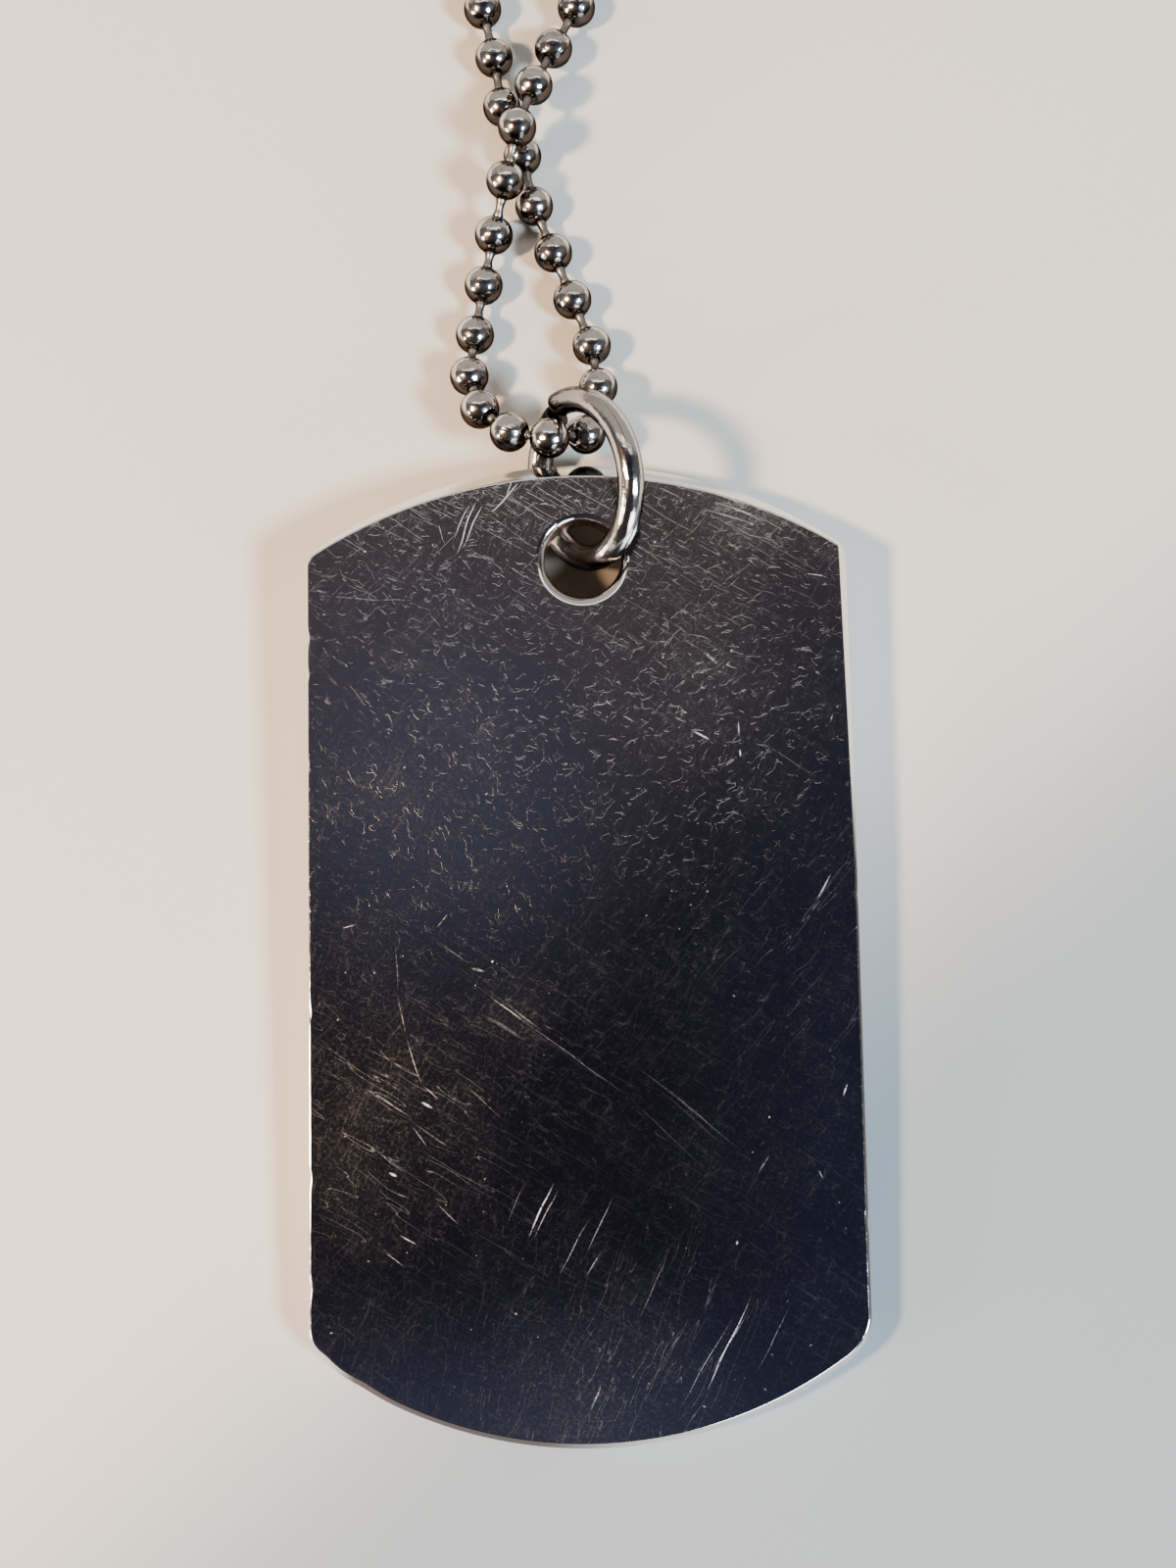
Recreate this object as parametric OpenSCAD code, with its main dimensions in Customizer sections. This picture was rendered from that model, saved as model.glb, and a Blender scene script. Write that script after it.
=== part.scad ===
// Identification dog tag: a heavy blank plate with a jump ring and a closed
// loop of ball chain, all lying on a flat surface. Millimetres, +Z up.
// The plate's long side runs along Y, with its holed end towards +Y.

/* [Tag plate] */
// Length of the plate over its two curved ends
tag_l = 50; // [42:0.5:60]
// Width of the plate
tag_w = 28; // [24:0.5:34]
// Thickness of the plate
tag_t = 2; // [1.6:0.1:2.4]
// Radius of the curved ends
end_r = 22.5; // [20:0.5:30]
// Radius of the four corners
corner_r = 1.3; // [1:0.1:2.5]
// Small chamfer round both faces
edge = 0.2; // [0.15:0.05:0.4]

/* [Hole] */
// Diameter of the hole
hole_d = 4; // [3.8:0.1:4.6]
// Distance from the holed end to the middle of the hole
hole_inset = 5.2; // [5:0.1:5.6]
// Sideways offset of the hole from the centre line
hole_x = 0.3; // [0:0.1:0.6]
// Width of the rounded rim of the hole
hole_rim = 0.3; // [0.1:0.05:0.4]

/* [Ground bevels] */
// Radius of the face's edge along the holed end's bevel
bevel_r = 25.5; // [23.5:0.5:32]
// How far the end bevel is set back at the middle of the face
bevel_set = 0.9; // [0.4:0.1:1.2]
// How deep the end bevel goes down the end wall
bevel_drop = 1.4; // [0.8:0.1:1.5]
// Length of the bevel that runs out along the right edge
side_bevel_l = 15.5; // [8:0.5:18]
// Width of the right edge's bevel at its wide end
side_bevel_w = 0.45; // [0.2:0.05:0.7]

/* [Jump ring] */
// Radius of the ring to the middle of its wire
ring_r = 4; // [3.9:0.05:4.3]
// Diameter of the ring's wire
wire_d = 1.36; // [1.2:0.02:1.4]
// How far the ring leans up from flat
ring_lean = 57; // [54:1:60]
// How far the ring is turned from the tag's length
ring_turn = 15; // [12:1:18]
// Width of the slit between the ring's ends, as an angle
ring_slit = 5; // [3:0.5:8]

/* [Ball chain] */
// Diameter of a bead
bead_d = 2.1; // [1.8:0.05:2.15]
// Distance between beads in the straight stretch
bead_pitch = 2.88; // [2.6:0.02:3.2]
// Diameter of the thin wire that joins the beads
thread_d = 0.45; // [0.35:0.05:0.5]
// Diameter of the bore through each bead
bore_d = 0.75; // [0.7:0.05:0.9]
// Wall of the sleeve that joins the chain's two ends
sleeve_wall = 0.3; // [0.25:0.05:0.5]
// Gap between the end beads and the sleeve
sleeve_gap = 0.12; // [0.1:0.02:0.3]

/* [Hidden] */

bead_r = bead_d / 2;
wire_r = wire_d / 2;
thread_r = thread_d / 2;
bore_r = bore_d / 2;

// How far a cutting shape runs past what it cuts
past = 1;

// The ring's lowest stretch of wire runs under the holed end, so that end is
// lifted by the wire and a little room, and the other end lies on the surface.
tag_room = 0.72;
tag_tilt = asin((wire_d + tag_room) / (tag_l - edge));
tag_lift = (tag_l / 2 - edge) * sin(tag_tilt);

end_y = tag_l / 2 - end_r;
corner_x = tag_w / 2 - corner_r;
corner_y = end_y + sqrt(pow(end_r - corner_r, 2) - pow(corner_x, 2));
corner_a = atan2(corner_y - end_y, corner_x);
hole_y = tag_l / 2 - hole_inset;

// The ring stands in the hole, a hair above the surface
ring_float = 0.035;
ring_centre = [
    hole_x + 0.16,
    hole_y * cos(tag_tilt) + ring_r - 0.08,
    wire_r + ring_float + ring_r * sin(ring_lean)
];
ring_slit_from = 99;

// Beads that lie as they fell, in order along the chain: how far right of the
// tag's centre line, how far beyond the holed end, and how far lifted off the
// surface. The chain crosses over itself and goes through the ring.
laid_beads = [
    [-4.7, 26.8, 0], [-4.1, 23.9, 0], [-3.7, 21.0, 0], [-2.6, 18.1, 0],
    [-2.0, 15.2, 0], [-1.0, 12.5, 0], [0.0, 9.8, 0], [1.0, 7.1, 0.2],
    [1.3, 4.5, 0.9], [0.6, 1.7, 1.5], [-1.3, 0.9, 3.4], [-3.4, 1.5, 2.7],
    [-5.0, 3.2, 1.5], [-5.6, 5.4, 0.5], [-5.3, 7.9, 0], [-4.8, 10.7, 0],
    [-4.2, 13.4, 0.4], [-3.5, 16.0, 1.5], [-2.8, 18.7, 2.2], [-1.9, 21.5, 1.4],
    [-0.8, 24.2, 0.35], [0.5, 26.8, 0]
];

// The rest of the loop takes the plain way round through these points
loop_points = [
    [6, 36], [16, 48], [32, 67], [49, 92], [58, 124], [57, 158], [40, 187],
    [3, 200],
    [-33, 188], [-55, 161], [-58, 126], [-51, 94], [-37, 68], [-20, 48], [-9.5, 36]
];

function on_floor(p) = [p[0], p[1] + tag_l / 2, bead_r];
function laid(p) = [p[0], p[1] + tag_l / 2, bead_r + p[2]];
function unit(v) = v / norm(v);

laid_n = len(laid_beads);
laid_centres = [for (p = laid_beads) laid(p)];
loop_route = concat(
    [laid_centres[laid_n - 2], laid_centres[laid_n - 1]],
    [for (p = loop_points) on_floor(p)],
    [laid_centres[0], laid_centres[1]]
);

// A smooth curve through four neighbouring points, from the second to the third
function blend(a, b, c, d, t) =
    0.5 * (2 * b + (c - a) * t + (2 * a - 5 * b + 4 * c - d) * pow(t, 2)
    + (3 * b - a - 3 * c + d) * pow(t, 3));

steps = 16;
curve = concat(
    [for (i = [1 : len(loop_route) - 3], s = [0 : steps - 1])
        blend(loop_route[i - 1], loop_route[i], loop_route[i + 1], loop_route[i + 2], s / steps)],
    [loop_route[len(loop_route) - 2]]
);

// Running length along the curve
function running(i = 1, sum = 0) =
    i >= len(curve) ? [sum]
    : concat([sum], running(i + 1, sum + norm(curve[i] - curve[i - 1])));
along = running();
curve_l = along[len(along) - 1];
gaps = round(curve_l / bead_pitch);

function at_length(s, i) =
    s <= along[i + 1] || i >= len(curve) - 2
    ? curve[i] + (curve[i + 1] - curve[i]) * (s - along[i]) / (along[i + 1] - along[i])
    : at_length(s, i + 1);

// Two beads at the middle of the loop sit in the sleeve, whose wall lifts them
sleeve_r = bead_r + sleeve_gap + sleeve_wall;
sleeve_k = floor(gaps / 2);
function lifted(k) =
    let (away = abs(k - sleeve_k - 0.5) - 0.5)
    away >= 4 ? 0 : (sleeve_r - bead_r) * (1 + cos(180 * away / 4)) / 2;
loop_centres = [for (k = [1 : gaps - 1])
    at_length(k * curve_l / gaps, 0) + [0, 0, lifted(k)]];

// All beads in order along the thread, from one side of the sleeve to the other
loop_n = len(loop_centres);
centres = concat(
    [for (i = [sleeve_k : loop_n - 1]) loop_centres[i]],
    laid_centres,
    [for (i = [0 : sleeve_k - 1]) loop_centres[i]]
);
bead_n = len(centres);
sleeve_a = centres[bead_n - 1];
sleeve_b = centres[0];
sleeve_middle = (sleeve_a + sleeve_b) / 2;
sleeve_dir = unit(sleeve_b - sleeve_a);
sleeve_lip = 0.4;
sleeve_edge = 0.1;
sleeve_l = norm(sleeve_b - sleeve_a) + bead_d + 2 * (sleeve_gap + sleeve_lip);
sleeve_slot = 0.8;

// The model's origin is under the middle of the whole
low_x = min([for (p = centres) p[0]]) - bead_r;
high_x = max([for (p = centres) p[0]]) + bead_r;
sleeve_side = sleeve_r * abs(sleeve_dir[0]) + (sleeve_l / 2 - sleeve_edge) * abs(sleeve_dir[1]);
high_y = max(max([for (p = centres) p[1]]) + bead_r, sleeve_middle[1] + sleeve_side);
low_y = -tag_l / 2 * cos(tag_tilt) - (tag_t - edge) * sin(tag_tilt);
middle = [(low_x + high_x) / 2, (low_y + high_y) / 2, 0];

// A round blank of the plate's thickness with both rims chamfered
module edged_disc(r) {
    rotate_extrude($fn = 180)
        polygon([
            [0, 0], [r - edge, 0], [r, edge],
            [r, tag_t - edge], [r - edge, tag_t], [0, tag_t]
        ]);
}

module strip() {
    half = tag_w / 2;
    rotate([90, 0, 0])
        linear_extrude(height = tag_l, center = true)
            polygon([
                [-half + edge, 0], [half - edge, 0], [half, edge], [half, tag_t - edge],
                [half - edge, tag_t], [-half + edge, tag_t], [-half, tag_t - edge], [-half, edge]
            ]);
}

// What is cut away outside a curved end
module end_waste() {
    difference() {
        translate([-tag_w, corner_y, -past])
            cube([2 * tag_w, tag_l, tag_t + 2 * past]);
        translate([0, end_y, 0])
            edged_disc(end_r);
    }
}

// What is cut away outside a rounded corner
module corner_waste() {
    reach = 3 * corner_r;
    translate([corner_x, corner_y, 0])
        difference() {
            translate([0, 0, -past])
                linear_extrude(height = tag_t + 2 * past)
                    polygon([
                        [0, 0], [reach, 0], [reach, reach],
                        [reach * cos(corner_a), reach * sin(corner_a)]
                    ]);
            edged_disc(corner_r);
        }
}

// The holed end is ground back along a flatter arc, as a sloping band
module end_bevel_waste() {
    spread = bevel_set / bevel_drop;
    translate([0, tag_l / 2 - bevel_set - bevel_r, tag_t])
        difference() {
            translate([-tag_w, bevel_r / 2, -tag_t])
                cube([2 * tag_w, tag_l, 2 * tag_t]);
            translate([0, 0, -2 * tag_t])
                cylinder(
                    h = 4 * tag_t,
                    r1 = bevel_r + 2 * tag_t * spread,
                    r2 = bevel_r - 2 * tag_t * spread,
                    $fn = 180
                );
        }
}

// A flat bevel that runs out along the right edge
module side_bevel_waste() {
    turn = atan(side_bevel_w / side_bevel_l);
    translate([tag_w / 2 - edge, corner_y - side_bevel_l, tag_t])
        rotate([0, -30, turn])
            translate([0, -past, -tag_t])
                cube([2 * tag_t, tag_l, 3 * tag_t]);
}

module hole() {
    translate([hole_x, hole_y, 0]) {
        translate([0, 0, -past])
            cylinder(h = tag_t + 2 * past, d = hole_d, $fn = 96);
        translate([0, 0, tag_t - hole_rim])
            cylinder(h = 2 * hole_rim, d1 = hole_d, d2 = hole_d + 4 * hole_rim, $fn = 96);
        translate([0, 0, -hole_rim])
            cylinder(h = 2 * hole_rim, d1 = hole_d + 4 * hole_rim, d2 = hole_d, $fn = 96);
    }
}

module tag_plate() {
    color([0.62, 0.61, 0.62])
        translate([0, 0, tag_lift])
            rotate([tag_tilt, 0, 0])
                difference() {
                    strip();
                    for (end = [0, 1])
                        mirror([0, end, 0]) {
                            end_waste();
                            for (side = [0, 1])
                                mirror([side, 0, 0])
                                    corner_waste();
                        }
                    end_bevel_waste();
                    side_bevel_waste();
                    hole();
                }
}

module jump_ring() {
    color([0.8, 0.8, 0.82])
        translate(ring_centre)
            rotate([0, -ring_lean, ring_turn])
                rotate([0, 0, ring_slit_from])
                    rotate_extrude(angle = 360 - ring_slit, $fn = 120)
                        translate([ring_r, 0])
                            circle(r = wire_r, $fn = 32);
}

// Turns what stands along Z to lie along a direction
module aim(v) {
    rotate([0, acos(unit(v)[2]), atan2(v[1], v[0])])
        children();
}

// How sharply the chain bends at a bead
function bend(i) =
    i == 0 || i == bead_n - 1 ? 0
    : acos(min(1, unit(centres[i] - centres[i - 1]) * unit(centres[i + 1] - centres[i])));

// Up to a small bend one straight bore, a little wider, still clears the thread.
// A sharper bend takes two, and these differ a little so that they cross cleanly.
small_bend = 32;
bore_step = 0.1;
thread_room = 0.06;
function straight_bore_r(i) = max(bore_r, thread_r + thread_room + bead_r * sin(bend(i) / 2));

// One bead with its bore, from its place in the chain
module bead(i) {
    before = centres[max(i - 1, 0)] - centres[i];
    after = centres[min(i + 1, bead_n - 1)] - centres[i];
    translate(centres[i])
        if (bend(i) < small_bend)
            aim(after - before)
                difference() {
                    sphere(r = bead_r, $fn = 32);
                    cylinder(h = 2 * bead_d, r = straight_bore_r(i), center = true, $fn = 32);
                }
        else
            difference() {
                aim(before)
                    difference() {
                        sphere(r = bead_r, $fn = 32);
                        translate([0, 0, -bore_r])
                            cylinder(h = 2 * bead_d, r = bore_r, $fn = 32);
                    }
                aim(after)
                    translate([0, 0, -bore_r])
                        cylinder(h = 2 * bead_d, r = bore_r * (1 + bore_step), $fn = 24);
            }
}

module chain_beads() {
    color([0.78, 0.78, 0.8])
        for (i = [0 : bead_n - 1])
            bead(i);
}

// The thread is one tube through the middle of every bead
thread_sides = 6;
function thread_way(i) =
    unit(centres[min(i + 1, bead_n - 1)] - centres[max(i - 1, 0)]);
function thread_ring(i) =
    let (
        way = thread_way(i),
        side = unit(cross([0, 0, 1], way)),
        top = cross(way, side)
    )
    [for (s = [0 : thread_sides - 1])
        centres[i] + thread_r * (side * cos(360 * s / thread_sides) + top * sin(360 * s / thread_sides))];

module chain_thread() {
    walls = [for (i = [0 : bead_n - 2], s = [0 : thread_sides - 1])
        let (n = (s + 1) % thread_sides, a = i * thread_sides, b = (i + 1) * thread_sides)
        each [[a + s, b + s, b + n], [a + s, b + n, a + n]]];
    start_cap = [for (s = [0 : thread_sides - 1]) s];
    end_cap = [for (s = [thread_sides - 1 : -1 : 0]) (bead_n - 1) * thread_sides + s];
    color([0.6, 0.6, 0.62])
        polyhedron(
            points = [for (i = [0 : bead_n - 1]) each thread_ring(i)],
            faces = concat(walls, [start_cap, end_cap])
        );
}

// A plain slotted sleeve closes the loop over its two end beads
module chain_clasp() {
    inner = bead_r + sleeve_gap;
    half = sleeve_l / 2;
    color([0.75, 0.75, 0.77])
        translate(sleeve_middle)
            rotate([0, 0, atan2(sleeve_dir[1], sleeve_dir[0])])
                difference() {
                    rotate([0, 90, 0])
                        rotate_extrude($fn = 64)
                            polygon([
                                [bore_r, -half], [sleeve_r - sleeve_edge, -half],
                                [sleeve_r, -half + sleeve_edge], [sleeve_r, half - sleeve_edge],
                                [sleeve_r - sleeve_edge, half], [bore_r, half],
                                [bore_r, half - sleeve_lip], [inner, half - sleeve_lip],
                                [inner, -half + sleeve_lip], [bore_r, -half + sleeve_lip]
                            ]);
                    translate([-half - past, -sleeve_slot / 2, 0])
                        cube([sleeve_l + 2 * past, sleeve_slot, 2 * sleeve_r]);
                }
}

translate(-middle) tag_plate();
translate(-middle) jump_ring();
translate(-middle) chain_beads();
translate(-middle) chain_thread();
translate(-middle) chain_clasp();
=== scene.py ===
"""Looks of a blank identification dog tag on a ball chain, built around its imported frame.

The file is laid out as an add-on: sizes and colours are scene properties, each piece has an
operator, and a panel lists them. Run as a script, it dresses the frame and sets the stage.
"""

import math
import random

import bmesh
import bpy
import numpy as np
from bpy.props import FloatProperty, FloatVectorProperty, IntProperty, PointerProperty
from bpy.types import Operator, Panel, PropertyGroup
from mathutils import Matrix, Vector


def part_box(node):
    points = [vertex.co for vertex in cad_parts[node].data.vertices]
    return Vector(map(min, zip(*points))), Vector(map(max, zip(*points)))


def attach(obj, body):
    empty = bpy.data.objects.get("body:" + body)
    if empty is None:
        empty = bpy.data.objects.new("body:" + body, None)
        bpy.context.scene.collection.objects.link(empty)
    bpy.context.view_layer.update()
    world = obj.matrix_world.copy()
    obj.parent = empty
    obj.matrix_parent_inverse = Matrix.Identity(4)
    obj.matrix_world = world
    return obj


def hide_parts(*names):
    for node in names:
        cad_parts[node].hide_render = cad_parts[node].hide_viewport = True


bl_info = {
    "name": "Dog tag on a ball chain",
    "version": (1, 0, 0),
    "blender": (4, 5, 0),
    "location": "3D View > Sidebar > Dog Tag",
    "description": "Dresses a blank dog tag, its jump ring and its ball chain, and sets a plain stage",
    "category": "Add Mesh",
}

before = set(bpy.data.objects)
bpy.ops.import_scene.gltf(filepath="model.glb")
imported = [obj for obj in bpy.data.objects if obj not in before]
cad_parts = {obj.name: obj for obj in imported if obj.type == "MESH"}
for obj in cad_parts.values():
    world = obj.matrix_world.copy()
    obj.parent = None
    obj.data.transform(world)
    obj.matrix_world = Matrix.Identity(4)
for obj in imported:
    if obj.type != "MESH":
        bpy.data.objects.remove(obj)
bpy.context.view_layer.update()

MM = 0.001
UP = Vector((0, 0, 1))


def length_prop(name, millimetres, description):
    """A length in metres, given here in millimetres."""
    return FloatProperty(
        name=name, default=millimetres * MM, min=0.0, precision=5, unit="LENGTH", description=description
    )


def angle_prop(name, degrees, description):
    """An angle in radians, given here in degrees."""
    return FloatProperty(
        name=name, default=math.radians(degrees), subtype="ANGLE", description=description
    )


def colour_prop(name, rgb, description):
    """A linear colour."""
    return FloatVectorProperty(
        name=name, default=rgb, size=3, min=0.0, max=1.0, subtype="COLOR", description=description
    )


class TagPlateSizes(PropertyGroup):
    """Sizes of the plate, its hole and its ground bevels."""

    length: length_prop("Length", 50.0, "Length over the two curved ends")
    width: length_prop("Width", 28.0, "Width between the straight sides")
    thickness: length_prop("Thickness", 2.0, "Thickness of the plate")
    end_radius: length_prop("End radius", 22.5, "Radius of the curved ends")
    corner_radius: length_prop("Corner radius", 1.3, "Radius of the corners at the holed end")
    foot_radius: length_prop("Foot corner radius", 2.6, "Radius of the worn corners at the plain end")
    edge: length_prop("Edge", 0.2, "Width of the edges taken off both faces")
    side_round: length_prop("Side rounding", 0.13, "Width of the rounding along the straight sides")
    end_round: length_prop("End rounding", 0.32, "Width of the worn edge along the plain end")
    end_slant: FloatProperty(
        name="End slant", default=1.15, min=0.1, max=2.0, description="Depth of that edge over its width"
    )
    lift: length_prop("Lift", 2.08, "Room under the holed end, taken up by the ring's wire")
    hole_diameter: length_prop("Hole", 4.0, "Diameter of the hole")
    hole_inset: length_prop("Hole inset", 5.2, "Distance from the holed end to the hole")
    hole_offset: length_prop("Hole offset", 0.3, "Sideways offset of the hole")
    hole_rim: length_prop("Hole rim", 0.42, "Width of the hole's rounded rims")
    rim_wear: FloatProperty(
        name="Rim wear", default=0.32, min=0.0, max=0.6,
        description="How much wider the hole's rims are towards the plain end",
    )
    bevel_radius: length_prop("Bevel radius", 25.5, "Radius of the face's edge at the end bevel")
    bevel_set: length_prop("Bevel setback", 0.9, "Setback of the end bevel at its middle")
    bevel_drop: length_prop("Bevel drop", 1.4, "Depth of the end bevel at its middle")
    side_bevel_length: length_prop("Side bevel length", 15.5, "Length of the right edge's bevel")
    side_bevel_width: length_prop("Side bevel width", 0.32, "Width of the right edge's bevel")


class JumpRingSizes(PropertyGroup):
    """Sizes and lie of the cut ring."""

    radius: length_prop("Radius", 4.0, "Radius to the middle of the wire")
    wire: length_prop("Wire", 1.36, "Diameter of the wire")
    lean: angle_prop("Lean", 57.0, "How far the ring leans up from flat")
    turn: angle_prop("Turn", 15.0, "How far the ring is turned from the tag's length")
    slit_from: angle_prop("Slit start", 99.0, "Where the wire starts, round the ring")
    slit: angle_prop("Slit", 5.0, "Width of the slit between the ends")
    spring: length_prop("Spring", 0.40, "How far the upper end of the wire has sprung outwards")
    off_right: length_prop("Off to the right", 0.16, "How far right of the hole's middle it hangs")
    off_back: length_prop("Off from the rim", 0.08, "Room it has towards the plain end")
    float_up: length_prop("Float", 0.035, "Room under the wire")


class ChainSizes(PropertyGroup):
    """Sizes of the beads and of the wire that joins them."""

    bead: length_prop("Bead", 2.1, "Diameter of a bead")
    pitch: length_prop("Pitch", 2.88, "Distance between beads in the plain stretch")
    pin: length_prop("Pin", 0.45, "Diameter of the wire between the beads")
    bead_hole: length_prop("Bead hole", 0.70, "Diameter of the holes at a bead's ends")
    seam: length_prop("Seam", 0.012, "Depth of the fine seam along a bead")
    sleeve_wall: length_prop("Sleeve wall", 0.3, "Wall of the sleeve that closes the loop")
    sleeve_gap: length_prop("Sleeve gap", 0.12, "Gap between the end beads and the sleeve")
    columns: IntProperty(
        name="Columns", default=22, min=12, max=48, description="Faces round a bead, the seam's apart"
    )
    rows: IntProperty(name="Rows", default=12, min=8, max=32, description="Faces along a bead")


class FinishColours(PropertyGroup):
    """Colours of the metal, the floor and the room that the metal mirrors, with the shade and reflections
    painted on the metal and the floor.
    """

    plate: colour_prop("Plate", (0.82, 0.80, 0.78), "Polished plate")
    scratch: colour_prop("Scratches", (0.76, 0.85, 1.0), "Scratches on the plate")
    # Painted warm reflection in the scratches, golden near the hole and brown to the lower left
    scratch_warm_reflection: colour_prop("Warm scratches", (0.90, 0.77, 0.61), "Scratches that mirror the ring")
    ring: colour_prop("Ring", (0.70, 0.665, 0.64), "Polished ring")
    bead: colour_prop("Beads", (0.80, 0.75, 0.72), "Polished beads")
    pin: colour_prop("Pins", (0.36, 0.33, 0.31), "Drawn wire between the beads")
    # Painted shade inside the hole and along the right long edge, where the metal mirrors shaded floor
    hole_and_edge_shade: colour_prop("Grime", (0.12, 0.085, 0.065), "Dark film in the hole and on the long edge")
    # Tarnish on the chain and the ring, also used for painted shade on their undersides and near the ring's
    # sprung cut end
    tarnish_and_shade: colour_prop("Tarnish", (0.034, 0.024, 0.020), "Dark film underneath the chain and the ring")
    foot: colour_prop("Foot rim", (0.085, 0.056, 0.062), "Brown film on the left of the plain end's rim")
    floor: colour_prop("Floor", (0.74, 0.70, 0.65), "Pale floor")
    # Painted light falloff: the floor's colour towards the right and the plain end
    floor_painted_falloff: colour_prop("Floor, cool", (0.325, 0.37, 0.41), "Pale floor to the right and the plain end")
    # Painted shadow on the floor under the hole
    floor_shade: colour_prop("Floor, shaded", (0.21, 0.175, 0.14), "Floor seen through the hole")
    overhead_far: colour_prop("Overhead, far", (0.062, 0.046, 0.050), "Dark room above, beyond the ring")
    overhead_near: colour_prop("Overhead, near", (0.008, 0.0078, 0.013), "Dark room above the plain half")
    overhead_end: colour_prop("Overhead, end", (0.035, 0.042, 0.082), "Room above, past the plain end")
    overhead_cool: colour_prop("Overhead, cool", (0.050, 0.054, 0.092), "Bluish patch above, to the left")
    overhead_right: colour_prop("Overhead, right", (0.013, 0.016, 0.034), "Bluish dark above, to the right")
    wall_near: colour_prop("Near wall", (0.040, 0.030, 0.027), "Dark room on the plain end's side")
    window: colour_prop("Window strip", (1.0, 0.97, 0.93), "Bright strip high above the far wall")
    window_strength: FloatProperty(name="Window strength", default=2.6, description="Strip's brightness")
    wall_far: colour_prop("Far wall", (0.52, 0.48, 0.43), "Pale wall beyond the chain")
    wall_side: colour_prop("Side walls", (0.12, 0.115, 0.115), "Dim walls left and right")


class StudioSettings(PropertyGroup):
    """Camera and lights."""

    focal: FloatProperty(name="Lens", default=45.0, description="Focal length, in millimetres")
    distance: length_prop("Camera distance", 100.0, "From the camera to the point it looks at")
    look_right: length_prop("Look right", 0.38, "How far right of the plate's middle it looks")
    look_up: length_prop("Look up", 8.0, "How far towards the holed end it looks")
    lean: angle_prop("Camera lean", 6.07, "Lean from the plate's normal, towards the plain end")
    roll: angle_prop("Camera roll", 1.01, "Roll of the camera")
    floor_size: length_prop("Floor size", 3000.0, "Side of the square floor")


class Signal:
    """A shader value with arithmetic: an expression on signals adds its Math nodes."""

    def __init__(self, paint, socket):
        self.paint = paint
        self.socket = socket

    def _math(self, operation, first, second=0.0):
        node = self.paint.add("ShaderNodeMath", {"operation": operation}, {0: first, 1: second})
        return Signal(self.paint, node.outputs[0])

    def __add__(self, other):
        return self._math("ADD", self, other)

    __radd__ = __add__

    def __sub__(self, other):
        return self._math("SUBTRACT", self, other)

    def __rsub__(self, other):
        return self._math("SUBTRACT", other, self)

    def __mul__(self, other):
        return self._math("MULTIPLY", self, other)

    __rmul__ = __mul__

    def __abs__(self):
        return self._math("ABSOLUTE", self)

    def highest(self, other):
        """The larger of two signals."""
        return self._math("MAXIMUM", self, other)

    def fade(self, start, end, low=0.0, high=1.0):
        """A smooth step from low at start to high at end."""
        node = self.paint.add(
            "ShaderNodeMapRange",
            {"interpolation_type": "SMOOTHSTEP"},
            {"Value": self, "From Min": start, "From Max": end, "To Min": low, "To Max": high},
        )
        return Signal(self.paint, node.outputs["Result"])


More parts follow.
